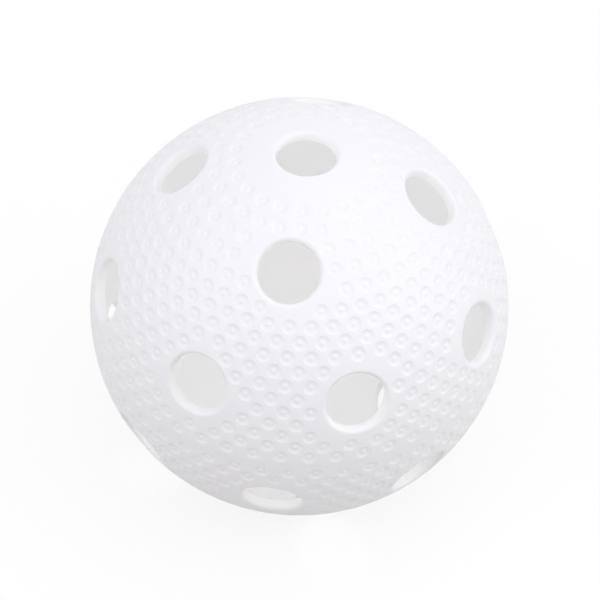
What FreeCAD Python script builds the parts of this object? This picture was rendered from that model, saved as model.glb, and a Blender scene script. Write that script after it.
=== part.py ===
"""Floorball ball: two equal half shells with thirteen holes each, welded at the equator."""
import FreeCAD
import Part
import math
import os

# Driving dimensions, in millimetres and degrees
BALL_DIAMETER = 72.0
WALL = 1.8
HOLE_DIAMETER = 10.0
RIM_ROUND = 0.7
UPPER_RING_ANGLE = 35.5
UPPER_RING_HOLES = 4
LOWER_RING_ANGLE = 70.5
LOWER_RING_HOLES = 8
HALF_STAGGER = 22.5

# Sizes that follow from them
BALL_RADIUS = BALL_DIAMETER / 2
INNER_RADIUS = BALL_RADIUS - WALL
HOLE_RADIUS = HOLE_DIAMETER / 2

CENTRE = FreeCAD.Vector(0, 0, 0)
POLE = FreeCAD.Vector(0, 0, 1)
SIDEWAYS = FreeCAD.Vector(1, 0, 0)
LEAN_AXIS = FreeCAD.Vector(0, 1, 0)


def point(radial, height):
    """Point of a profile, by its distance from the pole axis and its height over the equator."""
    return FreeCAD.Vector(radial, 0, height)


def on_arc(centre, radius, degrees):
    """Point of an arc in the profile's plane, its angle measured up from the equator."""
    turn = math.radians(degrees)
    return centre + point(radius * math.cos(turn), radius * math.sin(turn))


def line(start, end):
    """Straight edge of a profile."""
    return Part.LineSegment(start, end).toShape()


def revolved(edges):
    """Solid made by turning a closed profile once round the pole axis."""
    return Part.Face(Part.Wire(edges)).revolve(CENTRE, POLE, 360)


def half_ball():
    """Half shell without its holes, with its flat weld face on the equator."""
    outer_arc = Part.Arc(on_arc(CENTRE, BALL_RADIUS, 0), on_arc(CENTRE, BALL_RADIUS, 45),
                         on_arc(CENTRE, BALL_RADIUS, 90))
    inner_arc = Part.Arc(on_arc(CENTRE, INNER_RADIUS, 90), on_arc(CENTRE, INNER_RADIUS, 45),
                         on_arc(CENTRE, INNER_RADIUS, 0))
    return revolved([
        outer_arc.toShape(),
        line(point(0, BALL_RADIUS), point(0, INNER_RADIUS)),
        inner_arc.toShape(),
        line(point(INNER_RADIUS, 0), point(BALL_RADIUS, 0)),
    ])


def hole_cutter():
    """Tool for one hole along the pole axis: a straight bore that opens into a rounded rim.

    The rim's round is tangent to the bore and to the ball's outside. It is kept as a spline,
    which holds the same arc and facets more lightly.
    """
    rim_radial = HOLE_RADIUS + RIM_ROUND
    rim_centre = point(rim_radial, math.sqrt((BALL_RADIUS - RIM_ROUND) ** 2 - rim_radial ** 2))
    bore_side = 180
    ball_side = math.degrees(math.atan2(rim_centre.z, rim_centre.x))
    rim_start = on_arc(rim_centre, RIM_ROUND, bore_side)
    rim_middle = on_arc(rim_centre, RIM_ROUND, (bore_side + ball_side) / 2)
    rim_end = on_arc(rim_centre, RIM_ROUND, ball_side)
    outside = BALL_RADIUS + WALL
    inside = INNER_RADIUS - HOLE_RADIUS
    return revolved([
        line(point(0, inside), point(HOLE_RADIUS, inside)),
        line(point(HOLE_RADIUS, inside), rim_start),
        Part.Arc(rim_start, rim_middle, rim_end).toBSpline().toShape(),
        line(rim_end, point(rim_end.x, outside)),
        line(point(rim_end.x, outside), point(0, outside)),
        line(point(0, outside), point(0, inside)),
    ])


def leaned(tool, polar_angle, azimuth):
    """Copy of a tool, leaned away from the pole and turned to its azimuth."""
    placed = tool.copy()
    placed.rotate(CENTRE, LEAN_AXIS, polar_angle)
    placed.rotate(CENTRE, POLE, azimuth)
    return placed


def hole_tools():
    """Tools for all holes of a half shell: the pole hole, the upper ring and the lower ring."""
    tool = hole_cutter()
    upper_pitch = 360 / UPPER_RING_HOLES
    lower_pitch = 360 / LOWER_RING_HOLES
    upper_ring = [leaned(tool, UPPER_RING_ANGLE, index * upper_pitch) for index in range(UPPER_RING_HOLES)]
    lower_ring = [leaned(tool, LOWER_RING_ANGLE, (index + 0.5) * lower_pitch) for index in range(LOWER_RING_HOLES)]
    return [tool] + upper_ring + lower_ring


def half_shell():
    """Moulded half shell with its holes, the form that both halves share."""
    return half_ball().cut(hole_tools())


def turned_over(shape):
    """The same moulding as the other half: turned over, then staggered against the first."""
    placed = shape.copy()
    placed.rotate(CENTRE, SIDEWAYS, 180)
    placed.rotate(CENTRE, POLE, HALF_STAGGER)
    return placed


def main():
    """Build both half shells and write one file for each."""
    os.makedirs("parts", exist_ok=True)
    upper = half_shell()
    halves = {"upper_half_shell": upper, "lower_half_shell": turned_over(upper)}
    for name, shape in halves.items():
        shape.exportStep(os.path.join("parts", name + ".step"))
        print(name, "solids", len(shape.Solids), "volume", round(shape.Volume, 1))


main()
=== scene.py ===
"""Looks of the floorball ball: two dimpled half shells of satin white plastic on a white floor."""

import logging
import math
from dataclasses import dataclass, field
from enum import Enum

import bpy
import numpy as np
from mathutils import Matrix, Vector
from mathutils.geometry import delaunay_2d_cdt
from mathutils.kdtree import KDTree


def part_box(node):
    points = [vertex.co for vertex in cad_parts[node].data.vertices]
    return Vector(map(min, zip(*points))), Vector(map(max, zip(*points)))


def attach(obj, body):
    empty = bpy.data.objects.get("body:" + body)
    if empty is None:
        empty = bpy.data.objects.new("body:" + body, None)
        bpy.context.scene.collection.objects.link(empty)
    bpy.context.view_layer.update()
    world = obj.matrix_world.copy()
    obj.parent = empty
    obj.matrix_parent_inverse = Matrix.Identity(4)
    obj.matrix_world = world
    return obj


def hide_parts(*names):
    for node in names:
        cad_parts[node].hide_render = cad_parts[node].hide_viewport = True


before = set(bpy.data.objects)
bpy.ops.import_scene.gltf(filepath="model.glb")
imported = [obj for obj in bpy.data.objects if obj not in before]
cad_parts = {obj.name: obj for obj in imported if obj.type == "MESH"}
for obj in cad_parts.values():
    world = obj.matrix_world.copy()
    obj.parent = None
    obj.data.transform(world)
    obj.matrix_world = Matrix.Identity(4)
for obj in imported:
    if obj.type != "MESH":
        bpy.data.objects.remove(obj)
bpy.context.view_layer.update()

LOG = logging.getLogger("floorball_ball")
MM = 0.001
UP = Vector((0.0, 0.0, 1.0))
PURE_WHITE = (1.0, 1.0, 1.0, 1.0)

# Least length that is divided by, and distance at which points count as one, both in metres
TINY = 1e-9
MERGE_REACH = 1e-7

# Output kind of the triangulation that fills the whole hull of its points
FILL_HULL = 0

# Shell boxes, from which the ball's size and its rest height come
LOW_CORNER, HIGH_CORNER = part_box("upper_half_shell")
BALL_RADIUS = min(-LOW_CORNER.x, -LOW_CORNER.y, HIGH_CORNER.x, HIGH_CORNER.y)
REST_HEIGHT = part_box("lower_half_shell")[0].z


class Half(Enum):
    """The two mouldings that are welded into the ball."""

    UPPER = "upper_half_shell"
    LOWER = "lower_half_shell"


def toward(polar: float, azimuth: float) -> Vector:
    """The unit direction at a polar angle from +Z and an azimuth from +X, both in degrees."""
    tilt = math.radians(polar)
    turn = math.radians(azimuth)
    out = math.sin(tilt)
    return Vector((out * math.cos(turn), out * math.sin(turn), math.cos(tilt)))


def arc_between(first: Vector, second: Vector) -> float:
    """The distance over the ball between two unit directions, in metres."""
    return BALL_RADIUS * first.angle(second)


def start_piece() -> None:
    """Deselects everything, so that the next primitive is shaped alone."""
    if bpy.context.object is not None and bpy.context.object.mode != "OBJECT":
        bpy.ops.object.mode_set(mode="OBJECT")
    bpy.ops.object.select_all(action="DESELECT")


def take_mesh() -> tuple[np.ndarray, list[tuple[int, ...]]]:
    """Takes the vertices and faces of the active object, and removes the object.

    Returns:
        The vertices as rows of x, y and z, and the faces as vertex numbers. The faces are put
        in one fixed order, because an extrusion orders them differently from run to run.
    """
    bpy.ops.object.mode_set(mode="OBJECT")
    source = bpy.context.object
    mesh = source.data
    points = np.array([vertex.co for vertex in mesh.vertices], float)
    faces = sorted(tuple(polygon.vertices) for polygon in mesh.polygons)
    bpy.data.objects.remove(source)
    bpy.data.meshes.remove(mesh)
    return points, faces


@dataclass(frozen=True)
class Dimple:
    """A shallow round bowl in the skin, with a low pip standing in its middle."""

    rim_radius: float = 1.36 * MM
    pip_radius: float = 0.56 * MM
    depth: float = 0.23 * MM
    pip_height: float = 0.15 * MM
    segments: int = 12
    wall_shares: tuple[float, ...] = (1.0, 0.74, 0.38, 0.0)
    pip_share: float = 0.5
    slope_step: float = 0.001 * MM

    def sink(self, reach: np.ndarray) -> np.ndarray:
        """How far the skin lies below the ball at a distance from the dimple's middle."""
        wall = np.clip((reach - self.pip_radius) / (self.rim_radius - self.pip_radius), 0.0, 1.0)
        pip = np.clip(reach / self.pip_radius, 0.0, 1.0)
        bowl = self.depth * (1.0 - wall**3) ** 2
        return bowl - self.pip_height * 0.5 * (1.0 + np.cos(math.pi * pip))

    def slope(self, reach: np.ndarray) -> np.ndarray:
        """How fast the sink grows with the distance from the dimple's middle."""
        step = self.slope_step
        rise = self.sink(reach + step) - self.sink(np.maximum(reach - step, 0.0))
        return rise / (2.0 * step)

    def ring_radii(self) -> list[float]:
        """The rings of the bowl, from its rim in to the shoulder of the pip."""
        width = self.rim_radius - self.pip_radius
        wall = [self.pip_radius + share * width for share in self.wall_shares]
        return wall + [self.pip_share * self.pip_radius]

    def model(self) -> tuple[np.ndarray, list[tuple[int, ...]]]:
        """Models one dimple flat at the origin: a disc, inset and pushed down ring by ring.

        Returns:
            Its vertices and faces, the rim's vertices first.
        """
        start_piece()
        radii = self.ring_radii()
        bpy.ops.mesh.primitive_circle_add(vertices=self.segments, radius=radii[0], fill_type="NGON")
        bpy.ops.object.mode_set(mode="EDIT")
        bpy.ops.mesh.select_all(action="SELECT")
        edge_share = math.cos(math.pi / self.segments)
        levels = -self.sink(np.array(radii + [0.0]))
        for ring in range(1, len(radii)):
            inward = (radii[ring - 1] - radii[ring]) * edge_share
            bpy.ops.mesh.inset(thickness=inward, depth=0.0)
            bpy.ops.transform.translate(value=(0.0, 0.0, levels[ring] - levels[ring - 1]))
        bpy.ops.mesh.poke(offset=0.0)
        points, faces = take_mesh()
        middle = np.argmin(np.hypot(points[:, 0], points[:, 1]))
        points[middle, 2] = levels[-1]
        return points, faces

    def wrapped(self, points: np.ndarray) -> np.ndarray:
        """Wraps the flat dimple over the top of the ball.

        Args:
            points: The flat dimple's vertices.

        Returns:
            The same vertices on the ball, round +Z.
        """
        reach = np.hypot(points[:, 0], points[:, 1])
        turn = np.arctan2(points[:, 1], points[:, 0])
        tilt = reach / BALL_RADIUS
        level = BALL_RADIUS + points[:, 2]
        around = np.c_[np.sin(tilt) * np.cos(turn), np.sin(tilt) * np.sin(turn), np.cos(tilt)]
        return around * level[:, None]


@dataclass(frozen=True)
class Hole:
    """A round hole through the wall, whose rounded rim blends into the ball."""

    bore_radius: float = 5.0 * MM
    rim_round: float = 0.7 * MM
    wall: float = 1.8 * MM
    segments: int = 64
    rim_steps: int = 6
    edge_margin: float = 0.01 * MM

    @property
    def round_centre(self) -> tuple[float, float]:
        """The middle of the rim's round, as its distance from the hole's axis and its height."""
        out = self.bore_radius + self.rim_round
        return out, math.sqrt((BALL_RADIUS - self.rim_round) ** 2 - out**2)

    @property
    def edge_angle(self) -> float:
        """The angle from the hole's axis, in radians, at which the rim meets the ball."""
        out, height = self.round_centre
        return math.atan2(out, height)

    def profile(self) -> list[tuple[float, float]]:
        """The rim's and bore's outline, as distances from the axis and heights, from outside in."""
        out, height = self.round_centre
        outline = []
        for step in range(self.rim_steps + 1):
            lean = self.edge_angle + (-0.5 * math.pi - self.edge_angle) * step / self.rim_steps
            across = out + self.rim_round * math.sin(lean)
            outline.append((across, height + self.rim_round * math.cos(lean)))
        inner_radius = BALL_RADIUS - self.wall
        outline.append((self.bore_radius, math.sqrt(inner_radius**2 - self.bore_radius**2)))
        return outline

    def model(self) -> tuple[np.ndarray, list[tuple[int, ...]]]:
        """Models one rim and bore round +Z: a ring, extruded and drawn in step by step.

        Returns:
            Its vertices and faces, ring after ring from the outside in.
        """
        start_piece()
        outline = self.profile()
        bpy.ops.mesh.primitive_circle_add(
            vertices=self.segments, radius=outline[0][0], location=(0.0, 0.0, outline[0][1])
        )
        bpy.ops.object.transform_apply(location=True, rotation=False, scale=False)
        bpy.ops.object.mode_set(mode="EDIT")
        bpy.ops.mesh.select_all(action="SELECT")
        for (across, height), (next_across, next_height) in zip(outline, outline[1:]):
            drop = next_height - height
            bpy.ops.mesh.extrude_region_move(TRANSFORM_OT_translate={"value": (0.0, 0.0, drop)})
            draw = next_across / across
            bpy.ops.transform.resize(value=(draw, draw, 1.0), center_override=(0.0, 0.0, 0.0))
        bpy.ops.mesh.select_all(action="SELECT")
        bpy.ops.mesh.flip_normals()
        return take_mesh()

    def skin_normals(self, points: np.ndarray, axis: np.ndarray) -> tuple[np.ndarray, np.ndarray]:
        """Which points lie on this hole's rim or bore, and which way the skin faces there.

        Args:
            points: Vertices of the half shell.
            axis: The hole's axis, a unit vector.

        Returns:
            A mask of the points on the rim or bore, and a normal for each point.
        """
        out, height = self.round_centre
        along = points @ axis
        across = points - along[:, None] * axis
        reach = np.linalg.norm(across, axis=1)
        edge_reach = BALL_RADIUS * math.sin(self.edge_angle)
        mask = (reach < edge_reach - self.edge_margin) & (along > 0.0)
        outward = across / np.maximum(reach, TINY)[:, None]
        rise = np.maximum(along - height, 0.0)
        lean = np.where(rise > 0.0, reach - out, -self.rim_round)
        return mask, outward * lean[:, None] + axis * rise[:, None]


@dataclass(frozen=True)
class DimpleBand:
    """A ring of dimples round the pole: its polar angle, how many, and its first dimple's turn."""

    polar: float
    count: int
    turn: float

    def axes(self, extra_turn: float) -> list[Vector]:
        """The directions of the band's dimples, with the whole pattern turned by extra_turn."""
        pitch = 360.0 / self.count
        start = self.turn + extra_turn
        return [toward(self.polar, start + pitch * number) for number in range(self.count)]


@dataclass(frozen=True)
class DimplePattern:
    """Where the dimples of one moulding sit: a belt of even rows, and wider rings over the cap.

    Turns are counted from the hole of the ring of four that faces -Y.
    """

    belt_rows: int = 12
    belt_count: int = 50
    first_row: float = 3.30
    row_pitch: float = 3.51
    pitch_growth: float = 0.0227
    even_turn: float = 2.45
    odd_turn: float = -1.15
    cap_bands: tuple[DimpleBand, ...] = (
        DimpleBand(40.45, 45, -0.55),
        DimpleBand(35.1, 39, 1.75),
        DimpleBand(29.8, 33, -3.4),
        DimpleBand(24.4, 28, 3.4),
        DimpleBand(19.0, 22, 3.1),
    )
    front_azimuth: float = -90.0
    clear_of_hole: float = 6.8 * MM

    def bands(self) -> list[DimpleBand]:
        """All the rings of dimples, from the seam to the pole."""
        belt = []
        for row in range(self.belt_rows):
            above_seam = self.first_row + self.row_pitch * row + self.pitch_growth * row**2
            turn = self.odd_turn if row % 2 else self.even_turn
            belt.append(DimpleBand(90.0 - above_seam, self.belt_count, turn))
        return belt + list(self.cap_bands)

    def axes(
        self, holes: list[Vector], seat: float, spacing: float, extra_turn: float
    ) -> list[Vector]:
        """The directions of the dimples that the holes leave room for.

        Args:
            holes: The axes of the holes.
            seat: The least distance from a hole's axis at which a whole dimple fits, in metres.
            spacing: The least distance between two dimples, in metres.
            extra_turn: How far the pattern is turned in this moulding, in degrees.

        Returns:
            One unit vector for each dimple. One that touches a rim is moved out to its seat,
            and one that then lies too near another is left out.
        """
        kept = []
        for band in self.bands():
            for axis in band.axes(self.front_azimuth + extra_turn):
                hole = min(holes, key=axis.angle)
                gap = arc_between(axis, hole)
                if gap < self.clear_of_hole:
                    continue
                if gap < seat:
                    across = (axis - hole * axis.dot(hole)).normalized()
                    reach = seat / BALL_RADIUS
                    axis = hole * math.cos(reach) + across * math.sin(reach)
                if all(arc_between(axis, other) > spacing for other in kept):
                    kept.append(axis)
        return kept


def web(points: np.ndarray, loops: list[list[int]], loose: list[int]) -> list[tuple[int, ...]]:
    """Lays triangles over a half ball, between closed loops of its points.

    The half ball is flattened from its far pole, which keeps every circle round.

    Args:
        points: The vertices, of which some lie on the loops.
        loops: Closed loops of vertex numbers. The first is the outer border.
        loose: Vertex numbers that lie between the loops.

    Returns:
        Triangles that face away from the ball's middle, with none inside an inner loop.
    """
    order = [vertex for loop in loops for vertex in loop] + loose
    owner = [number for number, loop in enumerate(loops) for _ in loop] + [0] * len(loose)
    rays = points[order] / np.linalg.norm(points[order], axis=1)[:, None]
    flat = [Vector((ray[0], ray[1])) / (1.0 + ray[2]) for ray in rays]
    edges = []
    start = 0
    for loop in loops:
        count = len(loop)
        edges += [(start + step, start + (step + 1) % count) for step in range(count)]
        start += count
    _, _, faces, sources, _, _ = delaunay_2d_cdt(
        flat, edges, [], FILL_HULL, MERGE_REACH, True
    )
    triangles = []
    for face in faces:
        corners = [sources[corner][0] for corner in face]
        owners = {owner[corner] for corner in corners}
        if len(owners) > 1 or 0 in owners:
            triangles.append(tuple(order[corner] for corner in corners))
    return triangles


@dataclass
class SkinMesh:
    """The vertices and faces of a half shell while it is put together."""

    points: list[np.ndarray] = field(default_factory=list)
    faces: list[tuple[int, ...]] = field(default_factory=list)
    count: int = 0

    def add(self, points: np.ndarray, faces: list[tuple[int, ...]]) -> int:
        """Adds a piece of mesh.

        Args:
            points: Its vertices.
            faces: Its faces, as numbers of those vertices.

        Returns:
            The number of its first vertex in the whole.
        """
        first = self.count
        self.points.append(points)
        self.faces += [tuple(first + corner for corner in face) for face in faces]
        self.count += len(points)
        return first

    def all_points(self) -> np.ndarray:
        """Every vertex so far, as rows of x, y and z."""
        return np.concatenate(self.points)


@dataclass
class HalfShell:
    """One moulding of the ball, modelled with its pole up and turned over if it is the lower."""

    half: Half
    pattern_turn: float = 0.0
    hole: Hole = field(default_factory=Hole)
    dimple: Dimple = field(default_factory=Dimple)
    pattern: DimplePattern = field(default_factory=DimplePattern)
    upper_ring_angle: float = 35.5
    upper_ring_holes: int = 4
    lower_ring_angle: float = 70.5
    lower_ring_holes: int = 8
    stagger: float = 22.5
    seam_segments: int = 288
    seam_lip: float = 0.22 * MM
    seam_sink: float = 0.02 * MM
    skin_pitch: float = 1.5 * MM
    lining_pitch: float = 3.0 * MM
    rim_gap: float = 0.04 * MM
    dimple_gap: float = 0.03 * MM
    seam_clear: float = 2.0
    fill_clear: float = 0.55
    rim_share: float = 0.999
    inner_margin: float = 0.005 * MM

    def hole_axes(self) -> list[Vector]:
        """The axes of the pole hole and the two rings of holes."""
        axes = [UP.copy()]
        for number in range(self.upper_ring_holes):
            axes.append(toward(self.upper_ring_angle, 360.0 / self.upper_ring_holes * number))
        for number in range(self.lower_ring_holes):
            turn = self.stagger + 360.0 / self.lower_ring_holes * number
            axes.append(toward(self.lower_ring_angle, turn))
        return axes

    def dimple_axes(self) -> list[Vector]:
        """The directions of this half's dimples."""
        seat = BALL_RADIUS * self.hole.edge_angle + self.dimple.rim_radius + self.rim_gap
        spacing = 2.0 * self.dimple.rim_radius + self.dimple_gap
        return self.pattern.axes(self.hole_axes(), seat, spacing, self.pattern_turn)

    def copies(self, points: np.ndarray, axes: list[Vector]) -> list[np.ndarray]:
        """Copies of a piece modelled round +Z, each turned to one of the axes."""
        turned = []
        for axis in axes:
            turn = np.array(UP.rotation_difference(axis).to_matrix())
            turned.append(points @ turn.T)
        return turned

    def seam_ring(self, radius: float, height: float) -> np.ndarray:
        """A level ring of points round the ball's axis."""
        turns = np.linspace(0.0, 2.0 * math.pi, self.seam_segments, endpoint=False)
        return np.c_[radius * np.cos(turns), radius * np.sin(turns), np.full_like(turns, height)]

    def between(self, radius: float, pitch: float, borders: np.ndarray, clear: float) -> np.ndarray:
        """Points spread evenly over the half ball where no loop runs near.

        Args:
            radius: The radius that the points lie on.
            pitch: Their distance from each other.
            borders: The vertices of the loops.
            clear: The least distance from a hole's axis, as an angle in radians.

        Returns:
            The points that lie clear of every loop, hole and dimple.
        """
        near = KDTree(len(borders))
        for number, border in enumerate(borders):
            near.insert(border, number)
        near.balance()
        step = pitch / radius
        holes = self.hole_axes()
        kept = []
        for level in range(1, int(0.5 * math.pi / step) + 1):
            tilt = level * step
            count = max(6, round(2.0 * math.pi * math.sin(tilt) / step))
            for number in range(count):
                turn = 360.0 / count * (number + 0.5 * (level % 2))
                ray = toward(math.degrees(tilt), turn)
                if ray.z * radius < self.seam_clear * self.seam_lip:
                    continue
                if min(ray.angle(hole) for hole in holes) < clear:
                    continue
                if near.find(ray * radius)[2] > self.fill_clear * pitch:
                    kept.append(ray * radius)
        return np.array(kept)

    def outer_skin(self, mesh: SkinMesh, dimples: list[Vector]) -> list[list[int]]:
        """Adds the dimples, the rims with their bores, the seam's lip and the land between.

        Args:
            mesh: The half shell so far.
            dimples: The directions of the dimples.

        Returns:
            The loops at the inner ends of the bores, and the seam's outer loop last.
        """
        loops = []
        bore_ends = []
        flat, faces = self.dimple.model()
        rim_reach = self.rim_share * self.dimple.rim_radius
        rim = np.flatnonzero(np.hypot(flat[:, 0], flat[:, 1]) > rim_reach)
        rim = sorted(rim, key=lambda corner: math.atan2(flat[corner, 1], flat[corner, 0]))
        for copy in self.copies(self.dimple.wrapped(flat), dimples):
            first = mesh.add(copy, faces)
            loops.append([first + int(corner) for corner in rim])
        round_hole, faces = self.hole.model()
        for copy in self.copies(round_hole, self.hole_axes()):
            first = mesh.add(copy, faces)
            loops.append([first + step for step in range(self.hole.segments)])
            end = first + len(round_hole) - self.hole.segments
            bore_ends.append([end + step for step in range(self.hole.segments)])
        lip_radius = math.sqrt(BALL_RADIUS**2 - self.seam_lip**2)
        seam = mesh.add(self.seam_ring(BALL_RADIUS - self.seam_sink, 0.0), [])
        lip = mesh.add(self.seam_ring(lip_radius, self.seam_lip), [])
        count = self.seam_segments
        for step in range(count):
            after = (step + 1) % count
            mesh.faces.append((seam + step, seam + after, lip + after, lip + step))
        loops.insert(0, [lip + step for step in range(count)])
        points = mesh.all_points()
        borders = points[[vertex for loop in loops for vertex in loop]]
        middles = np.array([axis * BALL_RADIUS for axis in dimples])
        fill = self.between(BALL_RADIUS, self.skin_pitch, borders, self.hole.edge_angle)
        gaps = np.linalg.norm(fill[:, None, :] - middles[None, :, :], axis=2).min(axis=1)
        fill = fill[gaps > self.dimple.rim_radius]
        start = mesh.add(fill, [])
        mesh.faces += web(mesh.all_points(), loops, list(range(start, mesh.count)))
        return bore_ends + [[seam + step for step in range(count)]]

    def lining(self, mesh: SkinMesh, bore_ends: list[list[int]], seam: list[int]) -> None:
        """Adds the plain inside of the shell and the flat face at the seam.

        Args:
            mesh: The half shell so far.
            bore_ends: The loops at the inner ends of the bores.
            seam: The seam's outer loop.
        """
        radius = BALL_RADIUS - self.hole.wall
        first = mesh.add(self.seam_ring(radius, 0.0), [])
        inner = [first + step for step in range(self.seam_segments)]
        for step in range(self.seam_segments):
            after = (step + 1) % self.seam_segments
            mesh.faces.append((seam[after], seam[step], inner[step], inner[after]))
        loops = [inner] + bore_ends
        points = mesh.all_points()
        borders = points[[vertex for loop in loops for vertex in loop]]
        clear = math.asin(self.hole.bore_radius / radius)
        start = mesh.add(self.between(radius, self.lining_pitch, borders, clear), [])
        inside = web(mesh.all_points(), loops, list(range(start, mesh.count)))
        mesh.faces += [tuple(reversed(face)) for face in inside]

    def facing(self, points: np.ndarray, dimples: list[Vector]) -> np.ndarray:
        """Which way the outer skin faces at each vertex, from the true shape.

        Args:
            points: The vertices of the half shell.
            dimples: The directions of the dimples.

        Returns:
            A unit normal for each vertex.
        """
        rays = points / np.linalg.norm(points, axis=1)[:, None]
        normals = rays.copy()
        near = KDTree(len(dimples))
        for number, axis in enumerate(dimples):
            near.insert(axis, number)
        near.balance()
        middles = np.array([dimples[near.find(ray)[1]] for ray in rays])
        reach = BALL_RADIUS * np.arccos(np.clip(np.sum(rays * middles, axis=1), -1.0, 1.0))
        outward = rays * np.sum(rays * middles, axis=1)[:, None] - middles
        length = np.maximum(np.linalg.norm(outward, axis=1), TINY)
        lean = np.where(reach < self.dimple.rim_radius, self.dimple.slope(reach), 0.0)
        normals += outward / length[:, None] * lean[:, None]
        for axis in self.hole_axes():
            mask, rim_normals = self.hole.skin_normals(points, np.array(axis))
            normals[mask] = rim_normals[mask]
        return normals / np.linalg.norm(normals, axis=1)[:, None]

    def shade(self, mesh: bpy.types.Mesh, dimples: list[Vector]) -> None:
        """Shades the mesh smooth by its true shape, with sharp edges inside and at the seam.

        Args:
            mesh: The finished mesh, its pole still up.
            dimples: The directions of the dimples.
        """
        mesh.shade_smooth()
        points = np.array([vertex.co for vertex in mesh.vertices], float)
        outer = self.facing(points, dimples)
        distance = np.linalg.norm(points, axis=1)
        inner_limit = BALL_RADIUS - self.hole.wall + self.inner_margin
        corner_normals = []
        for polygon in mesh.polygons:
            corners = list(polygon.vertices)
            if all(abs(points[corner, 2]) < MERGE_REACH for corner in corners):
                corner_normals += [-UP] * len(corners)
            elif all(distance[corner] < inner_limit for corner in corners):
                corner_normals += [Vector(-points[corner] / distance[corner]) for corner in corners]
            else:
                corner_normals += [Vector(outer[corner]) for corner in corners]
        mesh.normals_split_custom_set(corner_normals)

    def build(self, plastic: bpy.types.Material) -> bpy.types.Object:
        """Builds the half shell in its place.

        Args:
            plastic: The material that it is moulded in.

        Returns:
            The finished piece, which rides on the ball's one body.
        """
        dimples = self.dimple_axes()
        parts = SkinMesh()
        loops = self.outer_skin(parts, dimples)
        self.lining(parts, loops[:-1], loops[-1])
        name = self.half.value.replace("_shell", "")
        mesh = bpy.data.meshes.new(name)
        mesh.from_pydata(parts.all_points().tolist(), [], parts.faces)
        mesh.validate()
        self.shade(mesh, dimples)
        if self.half is Half.LOWER:
            turned_over = Matrix.Rotation(math.pi, 4, "X")
            staggered = Matrix.Rotation(math.radians(self.stagger), 4, "Z")
            mesh.transform(staggered @ turned_over)
        piece = bpy.data.objects.new(name, mesh)
        bpy.context.collection.objects.link(piece)
        mesh.materials.append(plastic)
        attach(piece, "root")
        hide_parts(self.half.value)
        LOG.info("%s: %d dimples, %d faces", name, len(dimples), len(mesh.polygons))
        return piece


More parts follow.
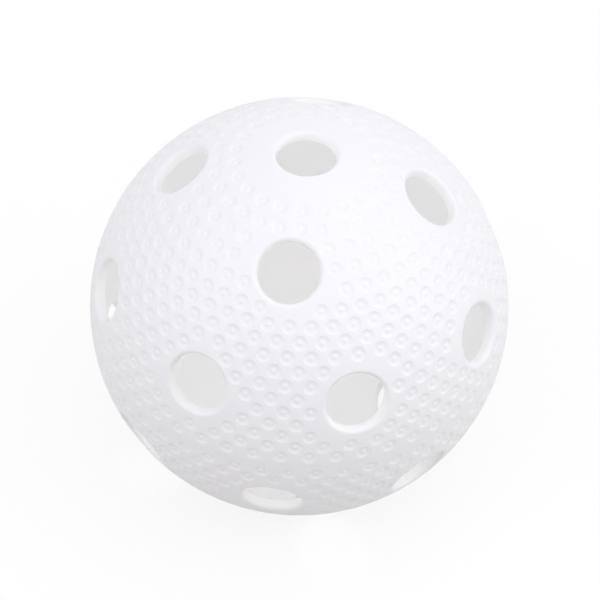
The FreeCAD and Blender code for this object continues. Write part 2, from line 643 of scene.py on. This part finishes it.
@dataclass(frozen=True)
class SatinPlastic:
    """White polyethylene: satin and faintly blue, with painted light in the bores, whose paler
    colour stands in for the light that the thin wall lets through.

    The bore levels are depths below the skin, between which the bore's look sets in and ends.
    """

    name: str = "satin_white_plastic"
    colour: tuple[float, float, float, float] = (0.885, 0.877, 0.900, 1.0)
    pale: tuple[float, float, float, float] = (0.905, 0.898, 0.918, 1.0)
    roughness: tuple[float, float] = (0.38, 0.48)
    glow: float = 0.25
    glow_reach: tuple[float, float, float] = (1.0, 0.95, 0.85)
    glow_scale: float = 0.4 * MM
    # Painted light: a paler colour in the bores for the light that passes through the thin wall
    bore_painted_light_colour: tuple[float, float, float, float] = (0.97, 0.963, 0.965, 1.0)
    bore_glow: float = 1.0
    bore_glow_scale: float = 2.0 * MM
    bore_levels: tuple[float, float, float, float] = (1.76 * MM, 1.70 * MM, 0.8 * MM, 0.3 * MM)
    ior: float = 1.5
    cloud_scale: float = 60.0
    cloud_detail: float = 3.0
    grain_scale: float = 4200.0
    grain_detail: float = 2.0
    grain_height: float = 0.006 * MM

    def material(self) -> bpy.types.Material:
        """Makes the material, whose bore walls are told from the skin by their depth."""
        made = bpy.data.materials.new(self.name)
        made.use_nodes = True
        nodes = made.node_tree.nodes
        links = made.node_tree.links
        shader = nodes["Principled BSDF"]
        shader.inputs["Subsurface Radius"].default_value = self.glow_reach
        shader.inputs["IOR"].default_value = self.ior
        place = nodes.new("ShaderNodeTexCoord")
        reach = nodes.new("ShaderNodeVectorMath")
        reach.operation = "LENGTH"
        links.new(place.outputs["Object"], reach.inputs[0])
        inner, rise, fall, outer = (BALL_RADIUS - level for level in self.bore_levels)
        in_wall = nodes.new("ShaderNodeMath")
        in_wall.operation = "MULTIPLY"
        for slot, (start, end) in enumerate(((inner, rise), (outer, fall))):
            share = nodes.new("ShaderNodeMapRange")
            share.inputs["From Min"].default_value = start
            share.inputs["From Max"].default_value = end
            links.new(reach.outputs["Value"], share.inputs["Value"])
            links.new(share.outputs["Result"], in_wall.inputs[slot])
        for name, skin_value, bore_value in (
            ("Subsurface Weight", self.glow, self.bore_glow),
            ("Subsurface Scale", self.glow_scale, self.bore_glow_scale),
        ):
            blend = nodes.new("ShaderNodeMapRange")
            blend.inputs["To Min"].default_value = skin_value
            blend.inputs["To Max"].default_value = bore_value
            links.new(in_wall.outputs[0], blend.inputs["Value"])
            links.new(blend.outputs["Result"], shader.inputs[name])
        cloud = nodes.new("ShaderNodeTexNoise")
        cloud.inputs["Scale"].default_value = self.cloud_scale
        cloud.inputs["Detail"].default_value = self.cloud_detail
        tint = nodes.new("ShaderNodeMix")
        tint.data_type = "RGBA"
        tint.inputs["A"].default_value = self.colour
        tint.inputs["B"].default_value = self.pale
        sheen = nodes.new("ShaderNodeMapRange")
        sheen.inputs["To Min"].default_value = self.roughness[0]
        sheen.inputs["To Max"].default_value = self.roughness[1]
        grain = nodes.new("ShaderNodeTexNoise")
        grain.inputs["Scale"].default_value = self.grain_scale
        grain.inputs["Detail"].default_value = self.grain_detail
        bump = nodes.new("ShaderNodeBump")
        bump.inputs["Distance"].default_value = self.grain_height
        links.new(place.outputs["Object"], cloud.inputs["Vector"])
        links.new(place.outputs["Object"], grain.inputs["Vector"])
        links.new(cloud.outputs["Fac"], tint.inputs["Factor"])
        # Painted light: the bore walls get a paler colour, which stands in for the light that the
        # thin wall lets through
        bore_painted_light = nodes.new("ShaderNodeMix")
        bore_painted_light.data_type = "RGBA"
        bore_painted_light.inputs["B"].default_value = self.bore_painted_light_colour
        links.new(in_wall.outputs[0], bore_painted_light.inputs["Factor"])
        links.new(tint.outputs["Result"], bore_painted_light.inputs["A"])
        links.new(bore_painted_light.outputs["Result"], shader.inputs["Base Color"])
        links.new(cloud.outputs["Fac"], sheen.inputs["Value"])
        links.new(sheen.outputs["Result"], shader.inputs["Roughness"])
        links.new(grain.outputs["Fac"], bump.inputs["Height"])
        links.new(bump.outputs["Normal"], shader.inputs["Normal"])
        return made


@dataclass(frozen=True)
class WhiteSweep:
    """The white floor and surroundings, which show white and keep the ball's soft shadow."""

    floor_side: float = 4.0
    floor_colour: tuple[float, float, float, float] = (0.56, 0.545, 0.51, 1.0)
    near_white: float = 0.80
    far_white: float = 1.0
    white_reach: tuple[float, float] = (0.08, 0.30)
    sky_strength: float = 0.63
    sky_colour: tuple[float, float, float, float] = (0.965, 0.965, 1.0, 1.0)

    def seen_ray(self, tree: bpy.types.NodeTree) -> bpy.types.NodeSocket:
        """A socket that is 1 for rays from the camera, a gloss or a clear piece, and else 0."""
        path = tree.nodes.new("ShaderNodeLightPath")
        total = path.outputs["Is Camera Ray"]
        for name in ("Is Glossy Ray", "Is Transmission Ray"):
            add = tree.nodes.new("ShaderNodeMath")
            add.operation = "MAXIMUM"
            tree.links.new(total, add.inputs[0])
            tree.links.new(path.outputs[name], add.inputs[1])
            total = add.outputs[0]
        return total

    def floor_material(self) -> bpy.types.Material:
        """A matt white, lifted to plain white where it is looked at."""
        made = bpy.data.materials.new("white_floor")
        made.use_nodes = True
        tree = made.node_tree
        tree.nodes.clear()
        matt = tree.nodes.new("ShaderNodeBsdfDiffuse")
        looked_at = self.seen_ray(tree)
        paint = tree.nodes.new("ShaderNodeMix")
        paint.data_type = "RGBA"
        paint.inputs["A"].default_value = self.floor_colour
        paint.inputs["B"].default_value = PURE_WHITE
        tree.links.new(looked_at, paint.inputs["Factor"])
        tree.links.new(paint.outputs["Result"], matt.inputs["Color"])
        white = tree.nodes.new("ShaderNodeEmission")
        place = tree.nodes.new("ShaderNodeTexCoord")
        reach = tree.nodes.new("ShaderNodeVectorMath")
        reach.operation = "LENGTH"
        fade = tree.nodes.new("ShaderNodeMapRange")
        fade.inputs["From Min"].default_value = self.white_reach[0]
        fade.inputs["From Max"].default_value = self.white_reach[1]
        fade.inputs["To Min"].default_value = self.near_white
        fade.inputs["To Max"].default_value = self.far_white
        tree.links.new(place.outputs["Object"], reach.inputs[0])
        tree.links.new(reach.outputs["Value"], fade.inputs["Value"])
        share = tree.nodes.new("ShaderNodeMath")
        share.operation = "MULTIPLY"
        tree.links.new(fade.outputs["Result"], share.inputs[1])
        mix = tree.nodes.new("ShaderNodeMixShader")
        out = tree.nodes.new("ShaderNodeOutputMaterial")
        tree.links.new(looked_at, share.inputs[0])
        tree.links.new(share.outputs[0], mix.inputs["Fac"])
        tree.links.new(matt.outputs[0], mix.inputs[1])
        tree.links.new(white.outputs[0], mix.inputs[2])
        tree.links.new(mix.outputs[0], out.inputs["Surface"])
        return made

    def lay_floor(self) -> None:
        """Lays the floor under the rim that the ball rests on."""
        start_piece()
        bpy.ops.mesh.primitive_plane_add(size=self.floor_side, location=(0.0, 0.0, REST_HEIGHT))
        bpy.ops.object.transform_apply(location=True, rotation=True, scale=True)
        floor = bpy.context.object
        floor.name = "floor"
        floor.data.materials.append(self.floor_material())

    def light_sky(self) -> None:
        """Surrounds the ball with an even sky that is seen as plain white."""
        world = bpy.data.worlds.new("sweep")
        world.use_nodes = True
        tree = world.node_tree
        tree.nodes.clear()
        glow = tree.nodes.new("ShaderNodeBackground")
        glow.inputs["Color"].default_value = self.sky_colour
        glow.inputs["Strength"].default_value = self.sky_strength
        white = tree.nodes.new("ShaderNodeBackground")
        mix = tree.nodes.new("ShaderNodeMixShader")
        out = tree.nodes.new("ShaderNodeOutputWorld")
        white.inputs["Strength"].default_value = 1.0
        white.inputs["Color"].default_value = PURE_WHITE
        tree.links.new(self.seen_ray(tree), mix.inputs["Fac"])
        tree.links.new(glow.outputs[0], mix.inputs[1])
        tree.links.new(white.outputs[0], mix.inputs[2])
        tree.links.new(mix.outputs[0], out.inputs["Surface"])
        bpy.context.scene.world = world


@dataclass(frozen=True)
class SoftLamp:
    """A square soft box that faces the ball."""

    name: str
    direction: tuple[float, float, float]
    power: float
    size: float = 0.7
    distance: float = 0.8
    colour: tuple[float, float, float] = (0.97, 0.97, 1.0)

    def hang(self) -> None:
        """Hangs the lamp on its direction from the ball."""
        light = bpy.data.lights.new(self.name, "AREA")
        light.energy = self.power
        light.size = self.size
        light.color = self.colour
        lamp = bpy.data.objects.new(self.name, light)
        out = Vector(self.direction).normalized()
        lamp.location = out * self.distance
        lamp.rotation_euler = out.to_track_quat("Z", "Y").to_euler()
        bpy.context.collection.objects.link(lamp)


STUDIO_LAMPS = (
    SoftLamp("key_lamp", direction=(0.44, -0.15, 0.88), power=4.3, size=1.6),
    SoftLamp("left_lamp", direction=(-0.72, -0.45, 0.52), power=1.7),
    SoftLamp("right_lamp", direction=(0.94, -0.12, 0.32), power=1.3),
    SoftLamp("back_lamp", direction=(-0.10, 0.99, 0.08), power=0.7),
)


@dataclass(frozen=True)
class WallGlow:
    """A small lamp in the hollow, which stands in for the light that the thin wall lets through."""

    power: float = 0.0086
    size: float = 8.0 * MM
    colour: tuple[float, float, float] = (0.99, 1.0, 0.92)

    def hang(self) -> None:
        """Hangs the lamp in the middle of the ball, hidden from the camera and from reflections."""
        light = bpy.data.lights.new("wall_glow", "POINT")
        light.energy = self.power
        light.shadow_soft_size = 0.5 * self.size
        light.color = self.colour
        lamp = bpy.data.objects.new("wall_glow", light)
        lamp.visible_camera = False
        lamp.visible_glossy = False
        bpy.context.collection.objects.link(lamp)


@dataclass(frozen=True)
class PhotoCamera:
    """The photograph's camera, found from the places of the holes and the ball's outline."""

    direction: tuple[float, float, float] = (0.0649, -0.6898, 0.7211)
    up: tuple[float, float, float] = (-0.115, 0.7126, 0.6921)
    distance: float = 0.385
    picture_px: float = 600.0
    outline_radius_px: float = 209.3
    middle_px: tuple[float, float] = (299.35, 306.07)
    sensor_mm: float = 36.0
    near_clip: float = 0.01

    def place(self) -> None:
        """Adds the camera and makes it the scene's."""
        data = bpy.data.cameras.new("photo_camera")
        reach = math.sqrt(self.distance**2 - BALL_RADIUS**2)
        focal_px = self.outline_radius_px * reach / BALL_RADIUS
        data.sensor_width = self.sensor_mm
        data.lens = self.sensor_mm * focal_px / self.picture_px
        data.shift_x = 0.5 - self.middle_px[0] / self.picture_px
        data.shift_y = self.middle_px[1] / self.picture_px - 0.5
        data.clip_start = self.near_clip
        back = Vector(self.direction).normalized()
        right = Vector(self.up).cross(back).normalized()
        above = back.cross(right)
        axes = Matrix((right, above, back)).transposed().to_4x4()
        camera = bpy.data.objects.new("photo_camera", data)
        camera.matrix_world = Matrix.Translation(back * self.distance) @ axes
        bpy.context.collection.objects.link(camera)
        bpy.context.scene.camera = camera


def main() -> None:
    """Builds the ball, the white surroundings, the lamps and the camera."""
    logging.basicConfig(level=logging.INFO, format="%(name)s: %(message)s")
    bpy.context.scene.view_settings.view_transform = "Standard"
    PhotoCamera().place()
    plastic = SatinPlastic().material()
    for shell in (HalfShell(Half.UPPER), HalfShell(Half.LOWER, pattern_turn=0.95)):
        shell.build(plastic)
    sweep = WhiteSweep()
    sweep.lay_floor()
    sweep.light_sky()
    for lamp in STUDIO_LAMPS:
        lamp.hang()
    WallGlow().hang()


if __name__ == "__main__":
    main()
